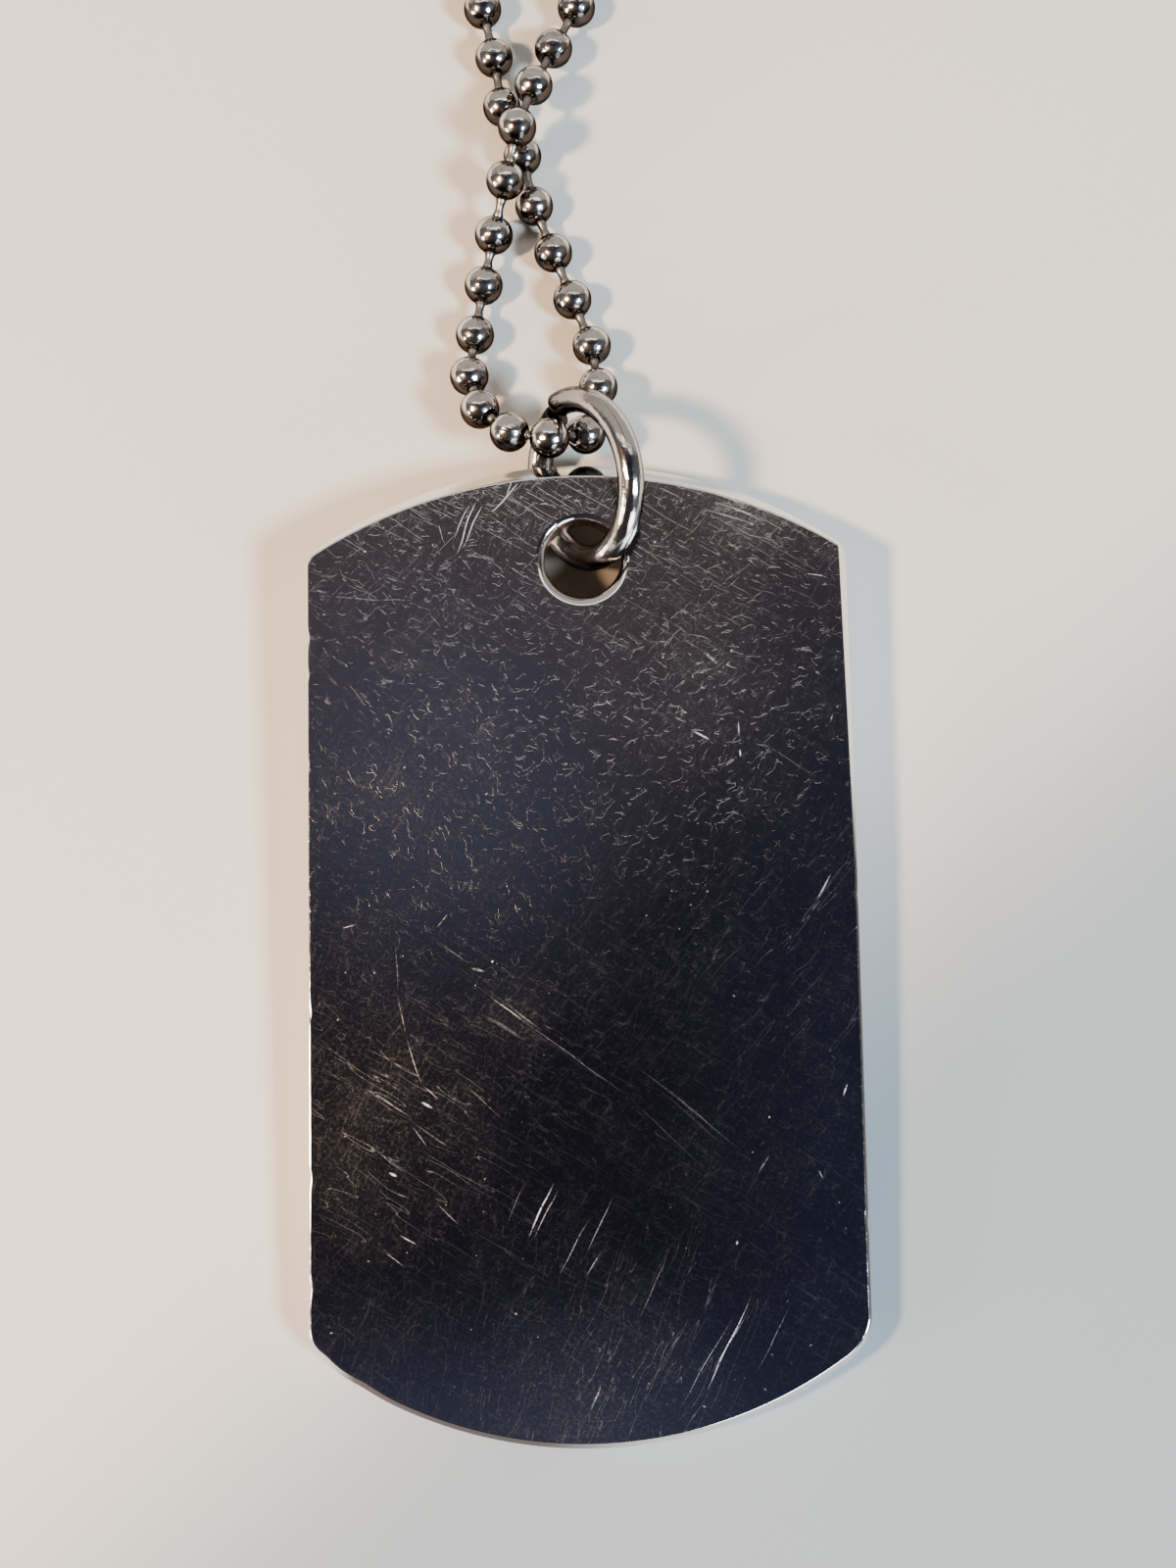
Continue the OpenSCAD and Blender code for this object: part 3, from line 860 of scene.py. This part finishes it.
def plate_finish(plate, colours):
    """Polished plate, hazed with fine wear, with its longer scratches in their places, painted warm
    reflection in some marks, and painted shade in the hole and on the right long edge.
    """
    material, paint = new_paint("tag_polish")
    middle = tag_matrix(plate) @ Vector((0, 0, plate.thickness))
    flat = paint.vector("MULTIPLY", paint.place(middle), (1.0, 1.0, 0.0))
    marks = plate_marks(paint, flat)
    worn = None
    for right, up, reach, strength in HAZES:
        patch = paint.spot(flat, (right, up, 0.0), reach, 0.0, 0.0, strength)
        worn = patch if worn is None else worn.highest(patch)
    smudge = paint.noise(flat, 0.22, 3.0, 0.6).fade(0.38, 0.70)
    grain = paint.noise(flat, 5.5, 3.0, 0.7).fade(0.40, 0.72)
    specks = paint.noise(flat, 2.6, 1.0, 0.5).fade(0.75, 0.81)
    haze = POLISH + SMUDGE_HAZE * smudge + (GRAIN_HAZE + WORN_GRAIN * worn) * grain + WORN_HAZE * worn
    roughness = haze + marks.highest(specks * SPECK_STRENGTH) * MARK_HAZE
    # Painted warm reflection in the marks: golden near the hole, brown to the lower left
    golden = paint.spot(flat, GOLDEN_REFLECTION_SPOT, 5.0, 2.5)
    brown = paint.spot(flat, BROWN_SHEEN_SPOT, 7.0, 2.0, 0.0, 0.7)
    tint = paint.mix(golden.highest(brown), colours.scratch, colours.scratch_warm_reflection)
    edge = plate.hole_diameter / 2 / MM
    # Painted shade inside the hole, standing in for the plate's own shadow and dark reflections there
    inside = paint.spot(flat, hole_middle(plate), edge + 0.06, edge + 0.01, 0.0, DARKENING_STRENGTH)
    right, up = paint.part(flat, "X"), paint.part(flat, "Y")
    slanted = paint.facing().fade(0.94, 0.78)
    foot = right.fade(*FOOT_RIGHT) * right.fade(*FOOT_LEFT) * up.fade(*FOOT_TOP) * slanted
    # Painted shade along the right long edge, standing in for its reflection of the shaded floor and the
    # lamp's glint
    side = right.fade(*SIDE_RIGHT) * up.fade(*SIDE_TOP) * up.fade(*SIDE_BOTTOM) * slanted
    colour = paint.layered(
        colours.plate, (marks, tint), (inside, colours.hole_and_edge_shade),
        (foot * DARKENING_STRENGTH, colours.foot), (side * DARKENING_STRENGTH, colours.hole_and_edge_shade),
    )
    relief = paint.noise(flat, 3.0, 3.0, 0.55) * 0.4 - marks
    normal = paint.bump(relief, 0.22, FINE_RELIEF)
    paint.metal(colour, roughness + inside * 0.25, normal)
    return material


# Ring

RING_STEPS = 150
WIRE_SIDES = 28
CUT_SOFTNESS = 0.12 * MM
# Share of the ring's round over which the upper end has sprung, and a small angle back from an end
SPRUNG_SHARE = 0.2
END_STEP = 0.02
# Brightness of the wire near its outline
RING_OUTLINE = 0.45


def ring_centre(plate, ring):
    """Where the ring stands, in the row's frame."""
    hole_y = plate.length / 2 - plate.hole_inset
    local = Vector((
        plate.hole_offset + ring.off_right,
        hole_y * math.cos(tag_tilt(plate)) + ring.radius - ring.off_back,
        ring.wire / 2 + ring.float_up + ring.radius * math.sin(ring.lean),
    ))
    return floor_origin(plate) + local


def ring_matrix(plate, ring):
    """From the flat ring's frame to the row's."""
    return (
        Matrix.Translation(ring_centre(plate, ring))
        @ Matrix.Rotation(ring.turn, 4, "Z")
        @ Matrix.Rotation(-ring.lean, 4, "Y")
    )


def ring_path(ring, along):
    """The wire's middle in the flat ring's frame and its outward direction, along radians from one end."""
    angle = ring.slit_from + along
    sweep = 2 * math.pi - ring.slit
    late = max(0.0, (along - sweep * (1 - SPRUNG_SHARE)) / (sweep * SPRUNG_SHARE))
    outward = Vector((math.cos(angle), math.sin(angle), 0))
    return outward * (ring.radius + ring.spring * late * late), outward


def ring_ends(plate, ring):
    """The middles of the wire's two cut faces and the directions they face."""
    matrix = ring_matrix(plate, ring)
    sweep = 2 * math.pi - ring.slit
    ends = []
    for along, step in ((0.0, END_STEP), (sweep, -END_STEP)):
        end = matrix @ ring_path(ring, along)[0]
        inner = matrix @ ring_path(ring, along + step)[0]
        ends.append((end, (end - inner).normalized()))
    return ends


def ring_geometry(plate, ring):
    """Vertices and faces of the cut ring, with softened ends."""
    wire = ring.wire / 2
    sweep = 2 * math.pi - ring.slit
    soft = CUT_SOFTNESS
    soft_angle = soft / ring.radius
    stations = [(0.0, wire - soft), (soft_angle * 0.3, wire - soft * 0.3), (soft_angle, wire)]
    run = sweep - 2 * soft_angle
    inner = [(soft_angle + run * i / RING_STEPS, wire) for i in range(1, RING_STEPS)]
    mirrored = [(sweep - along, radius) for along, radius in reversed(stations)]
    path = []
    for along, radius in stations + inner + mirrored:
        centre, outward = ring_path(ring, along)
        path.append((centre, radius, outward, UP))
    vertices, faces = tube(path, WIRE_SIDES)
    matrix = ring_matrix(plate, ring)
    return [matrix @ spot for spot in vertices], faces


def along_wire(paint, plate, ring):
    """A position that changes quickly across the ring's wire and slowly along it."""
    turn = ring_matrix(plate, ring).to_3x3()
    axis = tuple(turn.col[2])
    offset = paint.place(ring_centre(plate, ring))
    beside = paint.vector("SUBTRACT", offset, paint.vector("PROJECT", offset, axis))
    parts = {
        0: paint.measure("DOT_PRODUCT", offset, axis),
        1: paint.measure("LENGTH", beside),
        2: paint.measure("DOT_PRODUCT", offset, tuple(turn.col[0])) * 0.14,
    }
    return paint.add("ShaderNodeCombineXYZ", {}, parts).outputs[0]


def ring_finish(plate, ring, colours):
    """Bright wire with draw marks along it, painted shade on its underside and near its sprung cut end, and
    dark cut ends.
    """
    material, paint = new_paint("ring_polish")
    place = paint.place()
    drawn = paint.noise(along_wire(paint, plate, ring), 4.5, 3.0, 0.6)
    fine = paint.noise(place, 9.0, 3.0, 0.65)
    # Painted shade on the wire's underside
    under = paint.facing().fade(0.70, 0.25, 0.0, 0.85)
    dark = under.highest(drawn.fade(0.52, 0.68, 0.0, 0.55))
    for end, way in ring_ends(plate, ring):
        offset = paint.place(end)
        beyond = paint.measure("DOT_PRODUCT", offset, tuple(way)).fade(-0.20, -0.06)
        near = paint.measure("LENGTH", offset).fade(1.3, 1.0, 0.0, 0.95)
        dark = dark.highest(beyond * near)
    # Painted shadow along the wire near its sprung cut end, where that strand lies in the beads' shadow
    end_shadow = paint.measure("LENGTH", offset).fade(5.5, 1.5, 0.0, 0.55)
    colour = paint.mix(dark.highest(end_shadow), colours.ring, colours.tarnish_and_shade)
    roughness = 0.05 + 0.09 * drawn + 0.05 * fine
    relief = paint.noise(place, 1.5, 2.0, 0.5) + 0.16 * fine + 1.1 * drawn
    paint.metal(colour, roughness, paint.bump(relief, 0.50, SOFT_RELIEF), RING_OUTLINE)
    return material


# Chain

# Steps between two loop points, and the beads each side of the sleeve over which the chain rises to it
CURVE_STEPS = 16
EASED_BEADS = 4
# Angles from a bead's seam to its flank's middle and end, and how far out its hole's lip begins
SEAM_EDGE = 0.05
SEAM_END = 0.11
LIP_REACH = 0.90
# Seed of the beads' turns about the chain, and the bend below which three beads stand in a line
BEAD_SEED = 5
STRAIGHT = 1e-6
# Brightness of the beads, the pins and the sleeve near their outlines
CHAIN_OUTLINE = 0.3
PIN_SIDES = 12
PIN_SHAPE = (
    # off the bead's surface in millimetres and in shares of the gap, and the width over the pin's
    (-0.16, 0.0, 1.0), (-0.01, 0.0, 1.32), (0.0, 0.22, 1.04), (0.0, 0.5, 0.94),
)

LAID_BEADS = (
    # right of the tag's middle, beyond the holed end, off the surface, in millimetres
    (-4.7, 26.8, 0), (-4.1, 23.9, 0), (-3.7, 21.0, 0), (-2.6, 18.1, 0),
    (-2.0, 15.2, 0), (-1.0, 12.5, 0), (0.0, 9.8, 0), (1.0, 7.1, 0.2),
    (1.3, 4.5, 0.9), (0.6, 1.7, 1.5), (-1.3, 0.9, 3.4), (-3.4, 1.5, 2.7),
    (-5.0, 3.2, 1.5), (-5.6, 5.4, 0.5), (-5.3, 7.9, 0), (-4.8, 10.7, 0),
    (-4.2, 13.4, 0.4), (-3.5, 16.0, 1.5), (-2.8, 18.7, 2.2), (-1.9, 21.5, 1.4),
    (-0.8, 24.2, 0.35), (0.5, 26.8, 0),
)

LOOP_POINTS = (
    # right of the tag's middle and beyond the holed end, in millimetres
    (6, 36), (16, 48), (32, 67), (49, 92), (58, 124), (57, 158), (40, 187),
    (3, 200),
    (-33, 188), (-55, 161), (-58, 126), (-51, 94), (-37, 68), (-20, 48), (-9.5, 36),
)


def blend(a, b, c, d, t):
    """A smooth curve through four neighbouring points, from the second to the third."""
    return 0.5 * (
        2 * b + (c - a) * t + (2 * a - 5 * b + 4 * c - d) * t**2 + (3 * b - a - 3 * c + d) * t**3
    )


def along_curve(curve, count):
    """Points at equal distances along a polyline, its ends left out."""
    running = [0.0]
    for a, b in zip(curve, curve[1:]):
        running.append(running[-1] + (b - a).length)
    points, i = [], 0
    for k in range(1, count):
        wanted = running[-1] * k / count
        while running[i + 1] < wanted:
            i += 1
        share = (wanted - running[i]) / (running[i + 1] - running[i])
        points.append(curve[i].lerp(curve[i + 1], share))
    return points


def bead_centres(plate, chain):
    """Every bead's middle in order along the thread, from one side of the sleeve to the other."""
    radius = chain.bead / 2
    base = floor_origin(plate) + Vector((0, plate.length / 2, radius))
    laid = [base + Vector(p) * MM for p in LAID_BEADS]
    loop = [base + Vector((*p, 0)) * MM for p in LOOP_POINTS]
    route = laid[-2:] + loop + laid[:2]
    curve = []
    for i in range(1, len(route) - 2):
        curve += [blend(*route[i - 1 : i + 3], s / CURVE_STEPS) for s in range(CURVE_STEPS)]
    curve.append(route[-2])
    total = sum((b - a).length for a, b in zip(curve, curve[1:]))
    gaps = round(total / chain.pitch)
    middle = gaps // 2
    sleeve_lift = chain.sleeve_gap + chain.sleeve_wall
    far = along_curve(curve, gaps)
    for k, point in enumerate(far, start=1):
        away = abs(k - middle - 0.5) - 0.5
        if away < EASED_BEADS:
            point.z += sleeve_lift * (1 + math.cos(math.pi * away / EASED_BEADS)) / 2
    return far[middle:] + laid + far[:middle]


def bead_template(chain):
    """Directions and reaches of one bead's vertices: rows from hole to hole, seam first."""
    hole = math.asin(chain.bead_hole / chain.bead)
    angles = [hole + (math.pi - 2 * hole) * i / chain.rows for i in range(chain.rows + 1)]
    run = 2 * math.pi - 2 * SEAM_END
    plain_columns = [SEAM_END + run * i / chain.columns for i in range(1, chain.columns)]
    columns = [0.0, SEAM_EDGE, SEAM_END] + plain_columns + [-SEAM_END, -SEAM_EDGE]
    depth = chain.seam / (chain.bead / 2)
    rows = []
    for k, angle in enumerate([angles[0]] + angles + [angles[-1]]):
        inside = k in (0, len(angles) + 1)
        row = []
        for i, around in enumerate(columns):
            reach = LIP_REACH if inside else 1.0 - (depth if i == 0 else 0.0)
            row.append((math.cos(angle), math.sin(angle) * math.cos(around),
                        math.sin(angle) * math.sin(around), reach))
        rows.append(row)
    return np.array(rows)


def bead_geometry(plate, chain):
    """Vertices and faces of all the beads."""
    centres = bead_centres(plate, chain)
    template = bead_template(chain)
    rows, columns = template.shape[:2]
    draw = random.Random(BEAD_SEED)
    vertices, faces = [], []
    for i, centre in enumerate(centres):
        back = (centres[i - 1] - centre).normalized() if i > 0 else None
        ahead = (centres[i + 1] - centre).normalized() if i < len(centres) - 1 else None
        back = back or -ahead
        ahead = ahead or -back
        axis = (ahead - back).normalized()
        half_bend = axis.angle(ahead)
        hinge = axis.cross(ahead)
        hinge = hinge.normalized() if hinge.length > STRAIGHT else axis.orthogonal().normalized()
        side = Matrix.Rotation(draw.uniform(0, 2 * math.pi), 3, axis) @ axis.orthogonal().normalized()
        basis = np.array([axis, side, axis.cross(side)])
        flat = template[:, :, :3].reshape(-1, 3) @ basis
        share = template[:, :, 0].reshape(-1)
        # Each end of a bead turns to face its neighbour where the chain bends
        turn = half_bend * share
        pivot = np.array(hinge)
        cosine, sine = np.cos(turn)[:, None], np.sin(turn)[:, None]
        dots = (flat @ pivot)[:, None]
        flat = flat * cosine + np.cross(pivot, flat) * sine + pivot * dots * (1 - cosine)
        reach = template[:, :, 3].reshape(-1, 1) * chain.bead / 2
        vertices += list(np.array(centre) + flat * reach)
        faces += skin(i * rows * columns, rows, columns)
    return vertices, faces


def pin_stations(start, end, chain):
    """Places and radii of the wire between two bead middles, flared where it leaves them."""
    radius, pin = chain.bead / 2, chain.pin / 2
    run = end - start
    gap = run.length - chain.bead
    places = [(radius + off * MM + share * gap, pin * wide) for off, share, wide in PIN_SHAPE]
    stations = [(start + run.normalized() * along, r) for along, r in places]
    stations += [(end - run.normalized() * along, r) for along, r in reversed(places[:-1])]
    return stations


def thread_geometry(plate, chain):
    """Vertices and faces of the wire through all the beads."""
    centres = bead_centres(plate, chain)
    path = [(centres[0], chain.pin / 2)]
    for start, end in zip(centres, centres[1:]):
        path += pin_stations(start, end, chain)
        path.append((end, chain.pin / 2))
    stations = []
    for i, (centre, radius) in enumerate(path):
        way = (path[min(i + 1, len(path) - 1)][0] - path[max(i - 1, 0)][0]).normalized()
        side = UP.cross(way).normalized()
        stations.append((centre, radius, side, way.cross(side)))
    return tube(stations, PIN_SIDES)


def bead_finish(colours):
    """Polished balls, each a little dented, hazed and tarnished, with dark painted shade underneath."""
    material, paint = new_paint("bead_polish")
    place = paint.place()
    film = paint.noise(place, 1.4, 4.0, 0.7).fade(0.44, 0.74, 0.0, 0.44)
    # Painted shade on each bead's underside, standing in for the shaded floor it sits on and mirrors
    under = paint.facing((-0.08, 0.34, 1.0)).fade(0.70, 0.40, 0.0, 0.95)
    fine = paint.noise(place, 9.0, 2.0, 0.6)
    colour = paint.mix(film.highest(under), colours.bead, colours.tarnish_and_shade)
    roughness = 0.08 + 0.16 * film + 0.09 * fine
    normal = paint.bump(paint.noise(place, 2.2, 2.0, 0.5), 0.75, SOFT_RELIEF)
    paint.metal(colour, roughness, normal, CHAIN_OUTLINE)
    return material


def wire_finish(name, metal, colours, roughness):
    """Drawn wire or plain sheet silver, with a fine film and painted shade on its lower side."""
    material, paint = new_paint(name)
    place = paint.place()
    fine = paint.noise(place, 6.0, 3.0, 0.6)
    # Painted shade on the lower side of the pins and the sleeve
    under = paint.facing().fade(0.92, 0.50, 0.0, 0.90)
    film = (fine.fade(0.5, 0.9) * 0.3).highest(under)
    colour = paint.mix(film, metal, colours.tarnish_and_shade)
    paint.metal(colour, roughness + 0.08 * fine, paint.bump(fine, 0.2, FINE_RELIEF), CHAIN_OUTLINE)
    return material


# Stage


def aimed(location, target, up):
    """A matrix at location whose -Z looks at target, with up as near up as it can be."""
    back = (location - target).normalized()
    right = up.cross(back).normalized()
    top = back.cross(right)
    rotation = Matrix((right, top, back)).transposed().to_4x4()
    return Matrix.Translation(location) @ rotation


def add_camera(plate, studio):
    """The camera at the photograph's angle."""
    tag = tag_matrix(plate)
    turn = tag.to_3x3()
    target = tag @ Vector((studio.look_right, studio.look_up, plate.thickness))
    back = turn @ Vector((0, -math.sin(studio.lean), math.cos(studio.lean)))
    up = turn @ Vector((math.sin(studio.roll), math.cos(studio.roll), 0))
    data = bpy.data.cameras.new("camera")
    data.lens = studio.focal
    data.clip_start = 5 * MM
    camera = bpy.data.objects.new("camera", data)
    camera.matrix_world = aimed(target + back * studio.distance, target, up)
    bpy.context.scene.collection.objects.link(camera)
    bpy.context.scene.camera = camera


LIGHTS = (
    # name, bearing from +X and height in degrees, distance and size in mm, watts, colour
    ("cool_right", -32, 44, 600, 130, 5.6, (0.72, 0.88, 1.0)),
    ("warm_left", 194, 50, 300, 36, 1.72, (1.0, 0.68, 0.43)),
    ("low_left", 203, 15, 600, 150, 2.4, (1.0, 0.88, 0.72)),
    ("glow_right", -62, 14, 600, 300, 2.2, (0.80, 0.90, 1.0)),
)


def add_lights(plate):
    """Soft lamps to the left and right of the tag."""
    target = tag_matrix(plate) @ Vector((0, plate.length / 4, 0))
    for name, bearing, height, distance, size, watts, colour in LIGHTS:
        turn, rise = math.radians(bearing), math.radians(height)
        way = Vector((math.cos(turn) * math.cos(rise), math.sin(turn) * math.cos(rise), math.sin(rise)))
        data = bpy.data.lights.new(name, "AREA")
        data.shape = "DISK"
        data.size = size * MM
        data.energy = watts
        data.color = colour
        lamp = bpy.data.objects.new(name, data)
        lamp.matrix_world = aimed(target + way * distance * MM, target, UP)
        bpy.context.scene.collection.objects.link(lamp)


# Direction of the bluish patch overhead
COOL_PATCH = (-0.08, 0.07, 0.99)
# Room between the tag and the floor, and the width of the sleeve's softened edges
FLOOR_DROP = 0.004 * MM
SOFT_EDGE = 0.06 * MM


def add_world(colours):
    """A room: dark overhead and on the near side, pale beyond the chain, dim at the sides."""
    world = bpy.data.worlds.new("room")
    paint = Paint(world)
    way = paint.add("ShaderNodeTexCoord").outputs["Generated"]
    parts = paint.add("ShaderNodeSeparateXYZ", {}, {0: way}).outputs
    across, ahead = Signal(paint, parts["X"]), Signal(paint, parts["Y"])
    colour = paint.layered(
        colours.wall_near,
        (ahead.fade(-0.48, -0.31), colours.overhead_end),
        (ahead.fade(-0.28, -0.17), colours.overhead_near),
        (ahead.fade(-0.03, 0.18), colours.overhead_far),
        (across.fade(0.0, 0.14) * ahead.fade(0.24, 0.10, 0.0, 0.8), colours.overhead_right),
        (paint.spot(way, COOL_PATCH, 0.155, 0.02, 0.0, 0.9), colours.overhead_cool),
        (abs(across).fade(0.45, 0.85), colours.wall_side),
        (ahead.fade(0.30, 0.52), colours.wall_far),
        (
            ahead.fade(0.26, 0.31) * ahead.fade(0.42, 0.35) * abs(across).fade(0.70, 0.40),
            [c * colours.window_strength for c in colours.window],
        ),
    )
    light = paint.add("ShaderNodeBackground", {}, {"Color": colour, "Strength": 1.0})
    paint.add("ShaderNodeOutputWorld", {}, {"Surface": light.outputs[0]})
    bpy.context.scene.world = world


def add_floor(plate, colours, studio):
    """A plain pale floor just under the tag, with painted light falloff that makes it dimmer and cooler to
    the right and the plain end, and a painted shadow under the hole.
    """
    half = studio.floor_size / 2
    z = -FLOOR_DROP
    mesh = bpy.data.meshes.new("floor")
    corners = [(-half, -half, z), (half, -half, z), (half, half, z), (-half, half, z)]
    mesh.from_pydata(corners, [], [(0, 1, 2, 3)])
    material, paint = new_paint("floor_card")
    place = paint.place(floor_origin(plate))
    # Painted light falloff: the floor dims and cools towards the right and the plain end
    cool = paint.measure("DOT_PRODUCT", place, (0.030, -0.038, 0.0)).fade(-0.1, 0.9)
    # Painted shadow on the floor under the hole
    shaded = paint.spot(place, hole_middle(plate, 0.7), 3.8, 2.8)
    colour = paint.layered(colours.floor, (cool, colours.floor_painted_falloff), (shaded, colours.floor_shade))
    paint.surface({"Base Color": colour, "Roughness": 0.85})
    mesh.materials.append(material)
    floor = bpy.data.objects.new("floor", mesh)
    bpy.context.scene.collection.objects.link(floor)


# Operators and panel


class DOGTAG_OT_stage(Operator):
    """Set the camera, the lamps, the room and the floor"""

    bl_idname = "dogtag.stage"
    bl_label = "Set the Stage"

    def execute(self, context):
        scene = context.scene
        add_camera(scene.tag_plate_sizes, scene.studio)
        add_lights(scene.tag_plate_sizes)
        add_world(scene.finish_colours)
        add_floor(scene.tag_plate_sizes, scene.finish_colours, scene.studio)
        return {"FINISHED"}


class DOGTAG_OT_plate(Operator):
    """Build the polished plate with its hole, bevels and worn edges"""

    bl_idname = "dogtag.plate"
    bl_label = "Tag Plate"

    def execute(self, context):
        plate = context.scene.tag_plate_sizes
        built = plate_mesh(plate)
        built.transform(tag_matrix(plate))
        finish = plate_finish(plate, context.scene.finish_colours)
        add_piece("tag_plate_polished", built, finish, "tag_plate")
        return {"FINISHED"}


class DOGTAG_OT_ring(Operator):
    """Build the cut jump ring"""

    bl_idname = "dogtag.ring"
    bl_label = "Jump Ring"

    def execute(self, context):
        scene = context.scene
        built = built_from(*ring_geometry(scene.tag_plate_sizes, scene.jump_ring_sizes))
        finish = ring_finish(scene.tag_plate_sizes, scene.jump_ring_sizes, scene.finish_colours)
        add_piece("jump_ring_wire", built, finish, "jump_ring")
        return {"FINISHED"}


class DOGTAG_OT_beads(Operator):
    """Build the beads of the chain"""

    bl_idname = "dogtag.beads"
    bl_label = "Chain Beads"

    def execute(self, context):
        scene = context.scene
        built = built_from(*bead_geometry(scene.tag_plate_sizes, scene.chain_sizes))
        finish = bead_finish(scene.finish_colours)
        add_piece("chain_beads_round", built, finish, "chain_beads")
        return {"FINISHED"}


class DOGTAG_OT_thread(Operator):
    """Build the pins between the beads"""

    bl_idname = "dogtag.thread"
    bl_label = "Chain Pins"

    def execute(self, context):
        scene = context.scene
        built = built_from(*thread_geometry(scene.tag_plate_sizes, scene.chain_sizes))
        colours = scene.finish_colours
        finish = wire_finish("pin_wire", colours.pin, colours, 0.32)
        add_piece("chain_pins", built, finish, "chain_thread")
        return {"FINISHED"}


class DOGTAG_OT_clasp(Operator):
    """Finish the sleeve that closes the chain"""

    bl_idname = "dogtag.clasp"
    bl_label = "Chain Sleeve"

    def execute(self, context):
        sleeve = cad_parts["chain_clasp"]
        sleeve.data.materials.clear()
        colours = context.scene.finish_colours
        sleeve.data.materials.append(wire_finish("sleeve_sheet", colours.bead, colours, 0.14))
        soften = sleeve.modifiers.new("soft_edges", "BEVEL")
        soften.width = SOFT_EDGE
        soften.segments = 3
        soften.limit_method = "ANGLE"
        return {"FINISHED"}


class DOGTAG_PT_panel(Panel):
    """Pieces, sizes and colours of the dog tag"""

    bl_idname = "DOGTAG_PT_panel"
    bl_label = "Dog Tag"
    bl_space_type = "VIEW_3D"
    bl_region_type = "UI"
    bl_category = "Dog Tag"

    def draw(self, context):
        for step in STEPS:
            self.layout.operator(step.bl_idname)
        for group in GROUPS:
            owner = getattr(context.scene, group)
            column = self.layout.column()
            for name in owner.__annotations__:
                column.prop(owner, name)


GROUPS = {
    "tag_plate_sizes": TagPlateSizes,
    "jump_ring_sizes": JumpRingSizes,
    "chain_sizes": ChainSizes,
    "finish_colours": FinishColours,
    "studio": StudioSettings,
}
STEPS = (
    DOGTAG_OT_stage, DOGTAG_OT_plate, DOGTAG_OT_ring, DOGTAG_OT_beads, DOGTAG_OT_thread, DOGTAG_OT_clasp,
)


def register():
    for cls in (*GROUPS.values(), *STEPS, DOGTAG_PT_panel):
        bpy.utils.register_class(cls)
    for name, cls in GROUPS.items():
        setattr(bpy.types.Scene, name, PointerProperty(type=cls))


def unregister():
    for name in GROUPS:
        delattr(bpy.types.Scene, name)
    for cls in (DOGTAG_PT_panel, *reversed(STEPS), *reversed(list(GROUPS.values()))):
        bpy.utils.unregister_class(cls)


def main():
    register()
    bpy.ops.dogtag.stage()
    bpy.ops.dogtag.plate()
    bpy.ops.dogtag.ring()
    bpy.ops.dogtag.beads()
    bpy.ops.dogtag.thread()
    bpy.ops.dogtag.clasp()


if __name__ == "__main__":
    main()
